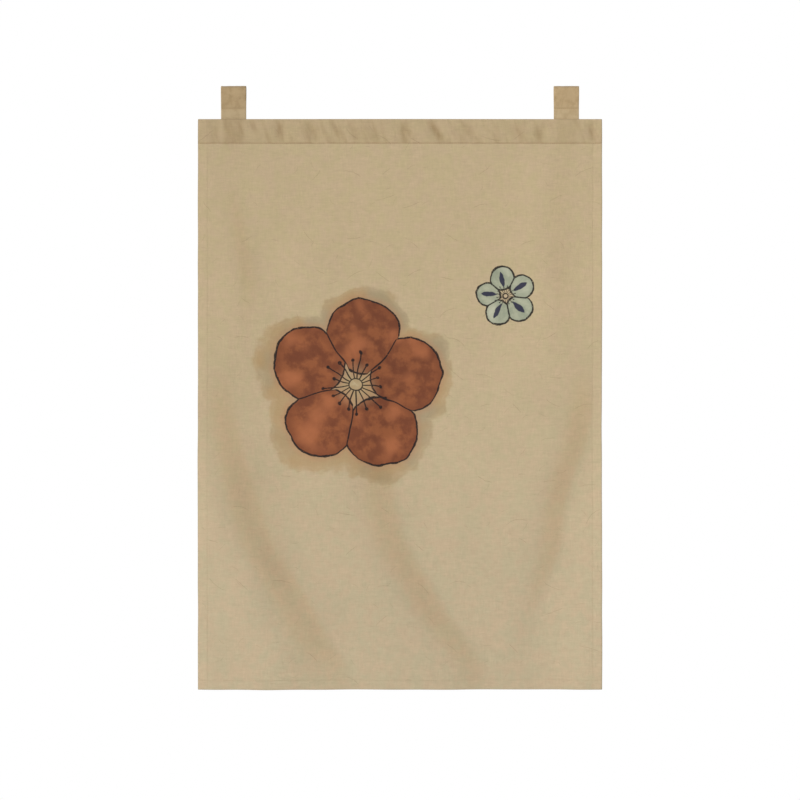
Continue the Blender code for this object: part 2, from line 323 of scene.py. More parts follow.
def cloth_surface(flat_across, flat_drop):
    """The outer face of the cloth. The side hems turn over first: at a turn's angle a, a point lies
    radius * (1 - cos a) behind the front. The heading and the bottom hem turn over next, and carry
    what lies on them round their own half circle. Seams draw both layers together, the heading's
    back layer is pressed flat above its seam, its front layer puffs out, and the hanging folds push
    everything back or forward."""
    side, side_angle = turn_over(np.abs(flat_across), WIDTH / 2, HEM_TURN)
    x = np.sign(flat_across) * side
    layer = HEM_TURN * (1 - np.cos(side_angle))
    in_hem = smooth(side, WIDTH / 2 - HEM - HEM_BLEND, WIDTH / 2 - HEM)

    band_turn = BAND_TURN + (BAND_END_TURN - BAND_TURN) * in_hem
    foot_turn = HEM_TURN + (CORNER_TURN - HEM_TURN) * in_hem
    top, top_angle = turn_over(-flat_drop, 0.0, band_turn)
    foot, foot_angle = turn_over(flat_drop, DROP, foot_turn)
    upper = flat_drop < DROP / 2
    turn = np.where(upper, band_turn, foot_turn)
    angle = np.where(upper, top_angle, foot_angle)
    inward = layer * np.sin(angle)
    drop = np.where(upper, -(top - inward), foot - inward)
    depth = turn * (1 - np.cos(angle)) + layer * np.cos(angle)

    to_side = WIDTH / 2 - side
    to_foot = DROP - drop
    behind = (angle > np.pi / 2) | (side_angle > np.pi / 2)
    seam = SIDE_DIP_SHARE * np.exp(-(((to_side - HEM_SEAM) / SEAM_DIP_REACH) ** 2))
    seam = np.maximum(seam, FOOT_DIP_SHARE * np.exp(-(((to_foot - HEM_SEAM) / SEAM_DIP_REACH) ** 2)))
    seam = np.maximum(seam, np.exp(-(((drop - BAND) / SEAM_DIP_REACH) ** 2)))
    depth = depth + SEAM_DIP * seam * np.where(behind, -1, 1)

    start, end = PRESSED_OVER
    pressing = (2 * BAND_TURN - PRESSED) * (1 - in_hem) * smooth(drop, BAND - start, BAND - end)
    depth = depth - np.where(upper & (angle > np.pi / 2), pressing, 0)
    height = (BAND - drop) / (BAND - BAND_TURN)
    in_front = (angle == 0) & (drop < BAND)
    depth = depth - np.where(in_front, front_puff(x, height), 0)

    near_side = smooth(side, WIDTH / 2 - EDGE_WAVE_REACH, WIDTH / 2)
    x = x + waves(EDGE_WAVE, drop, 0 * drop) * near_side * np.sign(x)
    sag = waves(EDGE_WAVE, x, 0 * x + 1.0) * smooth(drop, DROP - EDGE_WAVE_REACH, DROP)
    return np.stack([x, FRONT_Y + hang(x, drop) + depth, TOP_Z - drop + sag], axis=-1)


def quads(index):
    """The four-sided faces of a grid of point numbers."""
    corners = (index[:-1, :-1], index[1:, :-1], index[1:, 1:], index[:-1, 1:])
    return np.stack(corners, axis=-1).reshape(-1, 4)


def add_mesh(name, points, faces, layout=None):
    """A mesh object at the origin, with an optional UV map in metres, one pair for each point."""
    mesh = bpy.data.meshes.new(name)
    mesh.from_pydata(points.reshape(-1, 3).tolist(), [], [list(face) for face in faces])
    if layout is not None:
        corner = np.zeros(len(mesh.loops), np.int32)
        mesh.loops.foreach_get("vertex_index", corner)
        uv = mesh.uv_layers.new(name="layout")
        uv.data.foreach_set("uv", layout.reshape(-1, 2)[corner].astype(np.float32).ravel())
    mesh.shade_smooth()
    obj = bpy.data.objects.new(name, mesh)
    bpy.context.scene.collection.objects.link(obj)
    return obj


def hem_grid(edge, radius):
    """Flat places across a hem, from its turned-under edge out round the fold and back in over the
    seam: closer together at the seam and round the turn."""
    behind = back_layout(np.array(HEM_BEHIND), edge, radius)
    turn = edge - radius + radius * np.linspace(np.pi, 0, TURN_LINES)
    return np.concatenate([behind, turn, edge - np.array(HEM_AHEAD)])


def make_curtain():
    """The panel with its hems and heading: one sheet of cloth on a grid of the flat layout, whose
    lines lie closer at seams and turns. Its points carry how deep the puckers bite there, and how
    far a fold's flank slopes back, from which the material paints shade."""
    right = hem_grid(WIDTH / 2, HEM_TURN)
    inner = WIDTH / 2 - HEM - BODY_MARGIN
    across = np.concatenate([-right, np.linspace(-inner, inner, BODY_COLUMNS), right[::-1]])

    behind = -back_layout(np.array(BAND_BEHIND), 0.0, BAND_TURN)
    turn = BAND_TURN * (1 - np.linspace(np.pi, 0, TURN_LINES))
    body = np.linspace(BAND + BODY_MARGIN, DROP - HEM - BODY_MARGIN, BODY_ROWS)
    foot = hem_grid(DROP, HEM_TURN)[::-1]
    drops = np.concatenate([behind, turn, np.array(BAND_AHEAD), body, foot])

    flat_across, flat_drop = np.meshgrid(across, drops)
    points = cloth_surface(flat_across, flat_drop)
    index = np.arange(flat_across.size).reshape(flat_across.shape)
    layout = np.stack([flat_across, -flat_drop], axis=-1)
    curtain = add_mesh("curtain_cloth", points, quads(index), layout)
    height = np.clip((BAND - flat_drop) / (BAND - BAND_TURN), 0, 1)
    bite = pucker_bite(flat_across, height) * np.sin(np.pi * height) ** 0.5 * (flat_drop > 0)
    add_attribute(curtain, "pucker", bite)
    x, drop = points[..., 0], TOP_Z - points[..., 2]
    slope = (main_folds(x + SLOPE_STEP, drop) - main_folds(x - SLOPE_STEP, drop)) / (2 * SLOPE_STEP)
    add_attribute(curtain, "flank", smooth(slope, *FLANK_SLOPES))
    thicken(curtain, PLY)
    return curtain


def add_attribute(obj, name, values):
    """One number for each point of a mesh, for its material to read."""
    attribute = obj.data.attributes.new(name, "FLOAT", "POINT")
    attribute.data.foreach_set("value", values.astype(np.float32).ravel())


def thicken(obj, thickness):
    """The mesh is the cloth's right side. Its thickness goes behind it, with the wrong side in the
    second material."""
    solid = obj.modifiers.new("thickness", "SOLIDIFY")
    solid.thickness = thickness
    solid.offset = -1.0
    solid.material_offset = 1
    solid.material_offset_rim = 0


def strap_path(x, swell, phase):
    """The middle of a tab's strap in (y, z), from the end of one tail up, over the rod and down to
    the other, for each place across it. The tails lie flat on each other and are pinched at the
    seam, the loop opens along a mix of a quarter sine wave and an even S-shaped one, and a half
    circle closes it over the rod."""
    radius = LOOP_RADIUS * (1 + swell * np.sin(2 * np.pi * x / TAB_WIDTH + phase))
    stem_z = np.linspace(TOP_Z - TAB_TAIL, -LOOP_HEIGHT, STEM_STEPS)[None, :-1] + 0 * x
    t = np.linspace(0, 1, FLANK_STEPS)[None, :]
    side_z = np.hstack([stem_z, -LOOP_HEIGHT + (LOOP_HEIGHT - radius) * t])
    bulge = (1 - LOOP_EASE) * np.sin(np.pi * t / 2) + LOOP_EASE * (1 - np.cos(np.pi * t)) / 2
    side_y = STRAP / 2 + np.hstack([0 * stem_z, radius * bulge]) - pinch(side_z)
    angle = np.linspace(0, np.pi, LOOP_STEPS)[None, 1:-1]
    over_y = -(radius + STRAP / 2) * np.cos(angle)
    over_z = -radius + (radius + STRAP / 2) * np.sin(angle)
    return np.hstack([-side_y, over_y, side_y[:, ::-1]]), np.hstack([side_z, over_z, side_z[:, ::-1]])


def pinch(z):
    """How far the tab's cross seam draws each strap in."""
    return SEAM_DIP * np.exp(-(((z + TAB_SEAM) / SEAM_DIP_REACH) ** 2))


def make_tab(name, across, swell, phase):
    """A strap with turned-in, rounded side edges, carried along its path: at each place across it
    the two faces lie half a thickness to each side of the middle, and meet at the edges. Small
    ripples move both faces together, except at the edges and the cross seam."""
    share = np.sin(np.linspace(-np.pi / 2, np.pi / 2, STRAP_COLUMNS))
    x = TAB_WIDTH / 2 * share[:, None]
    y, z = strap_path(x, swell, phase)
    run_y, run_z = np.gradient(y, axis=1), np.gradient(z, axis=1)
    length = np.hypot(run_y, run_z)
    along = np.cumsum(length, axis=1)
    from_edge = TAB_WIDTH / 2 - np.abs(x)
    half = STRAP / 2 * np.sqrt(np.clip(1 - (1 - np.clip(from_edge / STRAP, 0, 1)) ** 2, 0, 1))
    free = smooth(from_edge, 0, RIPPLE_FROM_EDGE) * smooth(np.abs(z + TAB_SEAM), *RIPPLE_FROM_SEAM)
    ripple = waves(STRAP_WAVE, across + x, along) * free
    out_y, out_z = -run_z / length, run_y / length
    front = np.stack([x + 0 * y, y + (half + ripple) * out_y, z + (half + ripple) * out_z], -1)
    back = np.stack([x + 0 * y, y - (half - ripple) * out_y, z - (half - ripple) * out_z], -1)
    ring = np.concatenate([front, back[-2:0:-1]])
    ring[..., 0] += across
    layout = np.concatenate([np.stack([across + x + 0 * y, along], -1)] * 2)[: len(ring)]
    layout[len(front):, :, 0] = ring[len(front):, :, 0]

    index = np.arange(ring.shape[0] * ring.shape[1]).reshape(ring.shape[:2])
    faces = quads(np.vstack([index, index[:1]])).tolist()
    n = STRAP_COLUMNS
    for end, order in ((0, 1), (-1, -1)):
        rim = index[:, end]
        cap = [[rim[k], rim[k + 1], rim[-(k + 1)], rim[-k]] for k in range(1, n - 2)]
        cap += [[rim[0], rim[1], rim[-1]], [rim[n - 2], rim[n - 1], rim[n]]]
        faces += [[int(c) for c in face[::order]] for face in cap]
    return add_mesh(name, ring, faces, layout)


def thread_stitches(name, starts, ends, outward):
    """Short stitches of thread, each a five-sided tube that rises out of the cloth at one end and
    goes back in at the other: its middle line is the chord plus a low arch along the outward way."""
    chord = ends - starts
    ahead = chord / np.linalg.norm(chord, axis=-1, keepdims=True)
    aside = np.cross(ahead, outward)
    lift = np.array(STITCH_LIFT)
    t = np.array(STITCH_PLACES)
    angle = 2 * np.pi * np.arange(STITCH_SIDES) / STITCH_SIDES
    middle = (
        starts[:, None, None, :]
        + chord[:, None, None, :] * t[None, :, None, None]
        + outward[:, None, None, :] * lift[None, :, None, None]
    )
    round_it = (
        aside[:, None, None, :] * np.cos(angle)[None, None, :, None]
        + outward[:, None, None, :] * np.sin(angle)[None, None, :, None] * THREAD_FLAT
    )
    points = middle + THREAD * round_it
    count, rings, sides = points.shape[:3]
    index = np.arange(count * rings * sides).reshape(count, rings, sides)
    nxt = np.roll(index, -1, axis=2)
    tube = np.stack([index[:, :-1], index[:, 1:], nxt[:, 1:], nxt[:, :-1]], -1).reshape(-1, 4)
    caps = np.concatenate([index[:, 0], index[:, -1, ::-1]])
    return add_mesh(name, points, tube.tolist() + caps.tolist())


def stitch_places(start, end):
    """Where the stitches of a seam begin and end along it."""
    begins = np.arange(start, end - STITCH, STITCH + STITCH_GAP)
    return begins, begins + STITCH


def seam_points(across, drop):
    """Points of the cloth's outer face for flat places that may be single numbers or arrays."""
    across, drop = np.broadcast_arrays(np.asarray(across, float), np.asarray(drop, float))
    return cloth_surface(across, drop)


def seam(rows):
    """The stitches of several rows as (starts, ends, outward). A row gives the flat places where its
    stitches start, the flat places where they end, and which way along Y the cloth faces there."""
    starts = np.concatenate([seam_points(*row[0]) for row in rows])
    ends = np.concatenate([seam_points(*row[1]) for row in rows])
    facing = np.concatenate([np.full(len(seam_points(*row[0])), row[2]) for row in rows])
    outward = facing[:, None] * np.array([0.0, 1.0, 0.0])
    return starts, ends, outward


def make_seams():
    """The rows of stitches: along the heading, up both side hems, along the bottom hem and across
    both tabs, each seen on the front and on the back. The heading's row strays a little, and passes
    over the tabs' tails behind it. The side rows also run over the turned heading's back."""
    begin, end = stitch_places(-WIDTH / 2 + SEAM_ENDS, WIDTH / 2 - SEAM_ENDS)
    band_back = -back_layout(BAND, 0.0, BAND_TURN)
    stray = waves(SEAM_STRAY, begin, 0 * begin)
    starts, ends, outward = seam([
        ((begin, BAND + stray), (end, BAND + stray), -1.0),
        ((begin, band_back - stray), (end, band_back - stray), 1.0),
    ])
    on_tab = (np.abs(np.abs(starts[:, 0]) - TAB_ACROSS) < TAB_WIDTH / 2) & (outward[:, 1] > 0)
    starts[on_tab, 1] = ends[on_tab, 1] = STRAP + THREAD_ON_TAB
    pieces = [thread_stitches("heading_seam", starts, ends, outward)]

    begin, end = stitch_places(SEAM_ENDS, DROP - SEAM_ENDS)
    side = WIDTH / 2 - HEM_SEAM
    side_back = back_layout(HEM_SEAM, WIDTH / 2, HEM_TURN)
    rows = [((sign * place, begin), (sign * place, end), facing)
            for sign in (-1, 1) for place, facing in ((side, -1.0), (side_back, 1.0))]
    begin, end = stitch_places(-BAND_BEHIND[0] - BAND_TURN, -0.006)
    rows += [((sign * side, begin), (sign * side, end), 1.0) for sign in (-1, 1)]
    pieces.append(thread_stitches("side_seams", *seam(rows)))

    begin, end = stitch_places(-WIDTH / 2 + SEAM_ENDS, WIDTH / 2 - SEAM_ENDS)
    foot_back = back_layout(HEM_SEAM, DROP, HEM_TURN)
    rows = [((begin, place), (end, place), facing)
            for place, facing in ((DROP - HEM_SEAM, -1.0), (foot_back, 1.0))]
    pieces.append(thread_stitches("bottom_seam", *seam(rows)))

    begin, end = stitch_places(-TAB_WIDTH / 2 + 0.002, TAB_WIDTH / 2 - 0.001)
    centres, facings = np.meshgrid((-TAB_ACROSS, TAB_ACROSS), (-1.0, 1.0))
    centre, facing = centres.ravel()[:, None], facings.ravel()[:, None]
    y = facing * (STRAP - SEAM_DIP)
    starts = np.stack([centre + begin, y + 0 * begin, -TAB_SEAM + 0 * (y + begin)], -1).reshape(-1, 3)
    ends = starts + np.array([STITCH, 0.0, 0.0])
    outward = np.stack([0 * (y + begin), facing + 0 * begin, 0 * (y + begin)], -1).reshape(-1, 3)
    pieces.append(thread_stitches("tab_seams", starts, ends, outward))
    return pieces


def screen(red, green, blue):
    """A colour as seen on a screen, 0 to 255, as the linear one that a shader takes."""
    shade = np.array((red, green, blue)) / 255
    linear = np.where(shade <= 0.04045, shade / 12.92, ((shade + 0.055) / 1.055) ** 2.4)
    return (*(float(c) for c in linear), 1.0)


class Wire:
    """One value of a material. Python's operators on it add the Math nodes that work it out, and so
    do sin, cos, floor, least, the lower of two values, and most, the higher."""

    def __init__(self, bench, socket):
        self.bench = bench
        self.socket = socket

    def math(self, operation, *values):
        """A Math node of this operation on these values."""
        return self.bench.node("ShaderNodeMath", {"operation": operation}, dict(enumerate(values)))

    def __add__(self, other):
        return self.math("ADD", self, other)

    __radd__ = __add__

    def __sub__(self, other):
        return self.math("SUBTRACT", self, other)

    def __rsub__(self, other):
        return self.math("SUBTRACT", other, self)

    def __mul__(self, other):
        return self.math("MULTIPLY", self, other)

    __rmul__ = __mul__

    def __truediv__(self, other):
        return self.math("DIVIDE", self, other)

    def __rtruediv__(self, other):
        return self.math("DIVIDE", other, self)

    def __pow__(self, other):
        return self.math("POWER", self, other)

    def __mod__(self, other):
        return self.math("FLOORED_MODULO", self, other)

    def __neg__(self):
        return self.math("MULTIPLY", self, -1.0)

    def __abs__(self):
        return self.math("ABSOLUTE", self)

    def __lt__(self, other):
        return self.math("LESS_THAN", self, other)

    def sin(self):
        return self.math("SINE", self)

    def cos(self):
        return self.math("COSINE", self)

    def floor(self):
        return self.math("FLOOR", self)

    def least(self, other):
        return self.math("MINIMUM", self, other)

    def most(self, other):
        return self.math("MAXIMUM", self, other)

    def rise(self, start, end):
        """0 at start and below, 1 at end and above, smooth between them; end may be the lower."""
        low, high, first, last = (start, end, 0.0, 1.0) if start < end else (end, start, 1.0, 0.0)
        sockets = {0: self, 1: low, 2: high, 3: first, 4: last}
        return self.bench.node("ShaderNodeMapRange", {"interpolation_type": "SMOOTHSTEP"}, sockets)

    def bump(self, width):
        """1 at 0, falling smoothly to 0 at width on both sides."""
        return abs(self).rise(width, 0.0)


class Bench:
    """A material and its node tree."""

    def __init__(self, name):
        self.material = bpy.data.materials.new(name)
        self.material.use_nodes = True
        self.tree = self.material.node_tree
        self.shader = self.tree.nodes["Principled BSDF"]

    def axes(self, place):
        """The three values of a vector."""
        parts = self.node("ShaderNodeSeparateXYZ", {}, {0: place}, out=None)
        return [Wire(self, socket) for socket in parts.outputs]

    def layout(self):
        """Across from the middle and up from the heading's fold, in metres of flat cloth."""
        return self.axes(self.node("ShaderNodeUVMap", {"uv_map": "layout"}))[:2]

    def object_place(self):
        """Where a point lies in metres, on X, Y and Z."""
        return self.axes(self.node("ShaderNodeTexCoord", out="Object"))

    def node(self, kind, settings=None, sockets=None, out=0):
        """A node of this kind: first its settings, then the value or link of each socket. It gives
        back the output named or numbered out, or the node itself where out is None."""
        made = self.tree.nodes.new(kind)
        for key, value in (settings or {}).items():
            setattr(made, key, value)
        for key, value in (sockets or {}).items():
            if isinstance(value, Wire):
                self.tree.links.new(value.socket, made.inputs[key])
            else:
                made.inputs[key].default_value = value
        return made if out is None else Wire(self, made.outputs[out])

    def attribute(self, name):
        """The number that the mesh carries under this name."""
        return self.node("ShaderNodeAttribute", {"attribute_name": name}, out="Fac")

    def point(self, x, y, z=0.0):
        """A vector of three values."""
        return self.node("ShaderNodeCombineXYZ", {}, {0: x, 1: y, 2: z})

    def noise(self, x, y, detail=2.0, rough=0.5, seed=0.0):
        """Smooth noise, 0 to 1, at places given in its own wavelengths."""
        sockets = {"Vector": self.point(x, y, seed), "Scale": 1.0, "Detail": detail, "Roughness": rough}
        return self.node("ShaderNodeTexNoise", {}, sockets)

    def chance(self, x, y, seed):
        """Three unrelated values, 0 to 1, for each whole place."""
        white = self.node("ShaderNodeTexWhiteNoise", {}, {"Vector": self.point(x, y, seed)}, out="Color")
        parts = self.node("ShaderNodeSeparateColor", {}, {0: white}, out=None)
        return [Wire(self, socket) for socket in parts.outputs]

    def mix(self, share, first, second, blend="MIX"):
        """Two colours mixed by a share, 0 to 1."""
        settings = {"data_type": "RGBA", "blend_type": blend, "clamp_result": False}
        return self.node("ShaderNodeMix", settings, {0: share, 6: first, 7: second}, out=2)

    def shade(self, colour, factor):
        """A colour made lighter or darker by a factor near 1."""
        return self.node("ShaderNodeVectorMath", {"operation": "SCALE"}, {0: colour, 3: factor})

    def finish(self, colour, height=None, roughness=0.9, sheen=0.0):
        """The colour and the relief, in metres, on the shader, with its even values."""
        self.tree.links.new(colour.socket, self.shader.inputs["Base Color"])
        self.shader.inputs["Roughness"].default_value = roughness
        self.shader.inputs["Specular IOR Level"].default_value = SPECULAR
        self.shader.inputs["Sheen Weight"].default_value = sheen
        self.shader.inputs["Sheen Roughness"].default_value = SHEEN_ROUGHNESS
        if height is not None:
            relief = self.node("ShaderNodeBump", {}, {"Strength": 1.0, "Distance": 1.0, "Height": height})
            self.tree.links.new(relief.socket, self.shader.inputs["Normal"])
        return self.material


# The printed flowers: centre on the cloth (across, drop), size, turn in degrees, seed and inks, how
# strong the halo is, and whether the petals have a vein
Flower = namedtuple("Flower", "name across drop size turn seed petal dark light heart halo veined")
FLOWERS = (
    Flower("rust flower", -0.092, 0.560, 0.192, 97.0, 11.0, (143, 81, 46), (112, 57, 32),
           (168, 99, 61), (200, 164, 122), 1.0, False),
    Flower("pale flower", 0.222, 0.372, 0.066, 78.0, 27.0, (169, 171, 147), (146, 152, 131),
           (188, 188, 165), (205, 170, 130), 0.0, True),
)
FIFTH = 2 * np.pi / 5
SPOKES = 17.0
INK = (24, 17, 17)
INDIGO = (26, 24, 58)
HALO_OCHRE = (168, 137, 94)
HALO_GREY = (152, 135, 104)

# A point as one flower sees it: from the heart x, y and radius; its fifths of a turn and its angle from
# its own petal's middle line; its place ahead along that line and aside of it; its distance out from
# the petals' edge; the petal's own hue; and noises, from broad to fine
Spot = namedtuple("Spot", "x y radius turned local ahead aside edge hue soft sway grain shaky")


def weave(bench, across, along):
    """Plain weave: each yarn is a rounded ridge that dips under every other crossing. Gives the
    relief, 0 to 1, and slubs, the yarns' uneven thickness and tone, about 0."""
    warp, weft = across / YARN, along / YARN
    over = (warp.floor() + weft.floor()) % 2.0
    ridge = abs((warp * np.pi).sin()) * over + abs((weft * np.pi).sin()) * (1.0 - over)
    wefts = bench.noise(across / 0.017, along / 0.0030, 3.0, 0.65, 1.7) - 0.5
    warps = bench.noise(across / 0.0030, along / 0.021, 3.0, 0.65, 4.1) - 0.5
    busy = bench.noise(across / 0.05, along / 0.05, 2.0, 0.5, 9.0)
    return ridge, (wefts + warps * 0.8) * (0.35 + busy)


# Layers of short hairs: the square cell that holds one, its length and width, the share of cells
# that have one, how far it may turn from level in radians, how dark it is, and the seed
Hairs = namedtuple("Hairs", "cell span width share swing depth seed")
HAIRS = (
    Hairs(0.072, 0.056, 0.00060, 0.42, 1.90, 0.44, 31.0),
    Hairs(0.040, 0.026, 0.00055, 0.35, 2.40, 0.32, 57.0),
    Hairs(0.014, 0.010, 0.00045, 0.40, 0.70, 0.17, 83.0),
)


def hair_cover(bench, layer, across, along):
    """Short curved hairs, at most one in each square cell: its place, turn and bend are drawn from
    the cell, and it is a thin line along a parabola."""
    cell, span = layer.cell, layer.span
    column, row = across / cell, along / cell
    left, up, turn = bench.chance(column.floor(), row.floor(), layer.seed)
    bend, reach, kept = bench.chance(column.floor(), row.floor(), layer.seed + 5.0)
    x = (column % 1.0 - 0.5 - (left - 0.5) * 0.4) * cell
    y = (row % 1.0 - 0.5 - (up - 0.5) * 0.4) * cell
    angle = (turn - 0.5) * layer.swing
    run = x * angle.cos() + y * angle.sin()
    wobble = (bench.noise(across / 0.008, along / 0.008, 1.0, 0.5, layer.seed) - 0.5) * 0.003
    rest = y * angle.cos() - x * angle.sin() - run * run * (bend - 0.5) * (1.7 / span) + wobble
    ends = (abs(run) / (reach * 0.6 + 0.4)).rise(span * 0.5, span * 0.3)
    return rest.bump(layer.width) * ends * (kept < layer.share) * layer.depth


def flower_spot(bench, flower, across, drop):
    """Every point as a flower sees it. Petals are circles around the heart, one for each fifth of a
    turn, so a point is first turned into its own petal's fifth. Broad noises bend the whole flower,
    and a fine one makes its edge shaky."""
    size, seed = flower.size, flower.seed
    soft = bench.noise(across / 0.075, drop / 0.075, 1.0, 0.5, seed)
    sway = bench.noise(across / 0.070, drop / 0.070, 1.0, 0.5, seed + 6.0)
    shaky = bench.noise(across / 0.012, drop / 0.012, 2.0, 0.5, seed + 2.0)
    grain = bench.noise(across / 0.034, drop / 0.034, 4.0, 0.6, seed + 4.0)
    x = across - flower.across + (soft - 0.5) * (0.12 * size)
    y = flower.drop - drop + (sway - 0.5) * (0.12 * size)
    radius = (x * x + y * y) ** 0.5
    turned = (y.math("ARCTAN2", y, x) + np.radians(flower.turn)) / FIFTH + 10.0
    own, depth, hue = bench.chance(turned.floor(), 0.0, seed)
    local = (turned % 1.0 - 0.5) * FIFTH
    ahead, aside = radius * local.cos(), radius * local.sin()
    centre = (0.56 + (depth - 0.5) * 0.05) * size
    round_off = (0.395 + (own - 0.5) * 0.05) * size
    edge = ((ahead - centre) ** 2.0 + aside * aside) ** 0.5 - round_off
    edge = edge + (shaky - 0.5) * 0.004
    return Spot(x, y, radius, turned, local, ahead, aside, edge, hue, soft, sway, grain, shaky)


def lay_halo(bench, flower, spot, across, drop, colour, strength):
    """A stain around the petals, which reaches further down and to the left and is cloudy, with a
    tide line near its end and a glow of the petals' light ink next to them."""
    spread = bench.noise(across / 0.055, drop / 0.055, 3.0, 0.6, flower.seed + 8.0)
    reach = (0.006 + 0.056 * spread - (spot.x + spot.y) * 0.035).most(0.007)
    stain = (spot.edge / reach).rise(1.12, 0.50) * (0.50 + 0.40 * spread)
    tide = (spot.edge / reach - 0.78).bump(0.26) * (0.25 + 0.55 * spot.grain)
    tone = bench.mix(spot.soft.rise(0.35, 0.60), screen(*HALO_GREY), screen(*HALO_OCHRE))
    tone = bench.mix(spot.edge.rise(0.016, 0.0) * 0.45, tone, screen(*flower.light))
    return bench.mix(stain.most(tide) * (flower.halo * strength), colour, tone)


def lay_wash(bench, flower, spot, colour, strength):
    """The petals' wash: dark and light clouds, streaks that run out from the heart, a paler heart,
    and darker ink that has pooled along the edge."""
    inside = spot.edge.rise(0.0015, -0.0015)
    wash = bench.mix(spot.grain.rise(0.40, 0.62), screen(*flower.dark), screen(*flower.petal))
    wash = bench.mix((1.0 - spot.sway).rise(0.48, 0.72) * 0.85, wash, screen(*flower.light))
    streaks = bench.noise(spot.local * 9.0, spot.radius / 0.05, 3.0, 0.6, flower.seed + 3.0)
    wash = bench.shade(wash, 0.86 + 0.28 * streaks + (spot.hue - 0.5) * 0.10)
    heart = spot.radius.rise(0.30 * flower.size, 0.08 * flower.size)
    wash = bench.mix(heart * 0.55, wash, screen(*flower.heart))
    pool = spot.edge.rise(-0.13 * flower.size, 0.0) * spot.grain.rise(0.32, 0.66) * 0.7
    wash = bench.mix(pool * inside, wash, screen(*flower.dark))
    return bench.mix(inside * (0.97 * strength), colour, wash)


def lay_vein(bench, flower, spot, colour, strength):
    """One indigo stroke along each petal's middle line, as wide as a parabola is high."""
    vein = 0.085 * flower.size * (1.0 - ((spot.ahead / flower.size - 0.54) / 0.27) ** 2.0)
    vein = vein + (spot.shaky - 0.5) * 0.005 - abs(spot.aside + (spot.soft - 0.5) * 0.01)
    return bench.mix(vein.rise(-0.0004, 0.0010) * (0.93 * strength), colour, screen(*INDIGO))


def lay_ink(bench, flower, spot, across, drop, colour, strength):
    """The ink lines, drawn with uneven pressure and partly dry: around the petals and between them,
    a ring at the heart, and stamens with a knob at each tip."""
    size, radius = flower.size, spot.radius
    pressure = bench.noise(across / 0.025, drop / 0.025, 2.0, 0.5, flower.seed + 9.0)
    pen = 0.0004 + 0.0028 * pressure
    outline = (abs(spot.edge) - pen).rise(0.0006, -0.0004)
    between = radius * (FIFTH / 2 - abs(spot.local)).sin()
    cusp = 0.68 * size
    parting = (abs(between) - pen * 0.8).rise(0.0006, -0.0004) * spot.edge.rise(0.0015, -0.0015)
    parting = parting * radius.rise(0.16 * size, 0.20 * size) * radius.rise(cusp, 0.94 * cusp)

    spoke = spot.turned * (SPOKES / 5.0)
    reach, bend, _ = bench.chance(spoke.floor(), 1.0, flower.seed)
    off = ((spoke % 1.0) - 0.5 + (bend - 0.5) * 0.3) * (2 * np.pi / SPOKES) * radius
    tip = (0.24 + 0.13 * reach) * size
    stamen = (abs(off) - 0.0065 * size).rise(0.0006, -0.0003) * radius.rise(0.06 * size, 0.09 * size)
    stamen = stamen * (radius - tip).rise(0.001, -0.001)
    knob = (((radius - tip) ** 2.0 + off * off) ** 0.5).rise(0.024 * size, 0.014 * size)
    ring = (abs(radius - 0.075 * size) - pen * 0.7).rise(0.0006, -0.0004)

    ink = outline.most(parting).most(stamen).most(knob).most(ring)
    dry = bench.noise(across / 0.0035, drop / 0.0035, 2.0, 0.6, flower.seed + 12.0).rise(0.30, 0.44)
    return bench.mix(ink * (0.55 + 0.45 * dry) * (0.96 * strength), colour, screen(*INK))


def paint_flower(bench, flower, across, drop, colour, strength):
    """One five-petalled flower in ink and wash, laid over the cloth's colour."""
    spot = flower_spot(bench, flower, across, drop)
    if flower.halo:
        colour = lay_halo(bench, flower, spot, across, drop, colour, strength)
    colour = lay_wash(bench, flower, spot, colour, strength)
    if flower.veined:
        colour = lay_vein(bench, flower, spot, colour, strength)
    return lay_ink(bench, flower, spot, across, drop, colour, strength)


def mottled(bench, across, along, rosy, greenish):
    """A cloth colour that drifts between two near ones."""
    broad = bench.noise(across / 0.060, along / 0.070, 2.0, 0.6, 7.0)
    patchy = bench.noise(across / 0.024, along / 0.026, 2.0, 0.6, 37.0)
    tint = (broad * 0.4 + patchy * 0.6).rise(0.36, 0.64)
    return bench.mix(tint, screen(*rosy), screen(*greenish))


def heading_tone_and_shade(bench, across, drop, blotchy, colour):
    """The heading's doubled cloth is browner, to the left above all. Painted shade darkens its puckers
    and soft slanting folds, a painted shadow lies over the tab tails behind it, and painted shade
    falls where the tabs pull at the cloth below."""
    band = drop.rise(BAND + 0.0015, BAND - 0.0005)
    colour = bench.mix(band * across.rise(0.30, -0.30) * 0.10 + band * 0.28, colour, screen(*HEADING))
    to_tab = abs(across) - TAB_ACROSS
    tail = to_tab.bump(TAB_WIDTH / 2 + 0.004).rise(0.0, 0.5) * drop.rise(-0.003, 0.0)
    tail = tail * drop.rise(TAB_TAIL + 0.003, TAB_TAIL - 0.008) * (across.rise(0.1, -0.1) * 0.10 + 0.10)
    pull = to_tab.bump(0.035) * drop.rise(0.13, 0.05) * (0.03 + 0.06 * blotchy)
    # Painted shade in the puckers, a painted shadow over the tab tails, painted shade where the tabs pull
    # and in the soft folds
    pucker = bench.attribute("pucker")
    crease = pucker * pucker * (0.12 + 0.85 * blotchy) * 0.68
    folded = bench.noise((across - drop * 0.30) / 0.019, drop / 0.080, 2.0, 0.55, 17.0)
    shadow = crease.most(tail * (0.5 + 1.6 * blotchy)).most(pull)
    shadow = shadow + band * folded.rise(0.45, 0.80) * 0.30
    return bench.mix(shadow, colour, screen(*SHADE_AND_SMUDGE))


def seam_and_rim_shade(to_side, drop, uneven):
    """Painted shade: a factor a little under 1 along the hems' stitch grooves, and lower at the very rim
    and along the heading's top fold, where the cloth turns away.
    """
    seams = (to_side - HEM_SEAM).bump(0.0040) * 0.03
    seams = seams.most((DROP - HEM_SEAM - drop).bump(0.0040) * 0.02) * (0.3 + 1.2 * uneven)
    edge = to_side.least(DROP - drop).least(abs(drop + 0.0010))
    rim = (edge + 0.0006).bump(0.0032) * 0.24
    return (1.0 - seams) * (1.0 - rim)


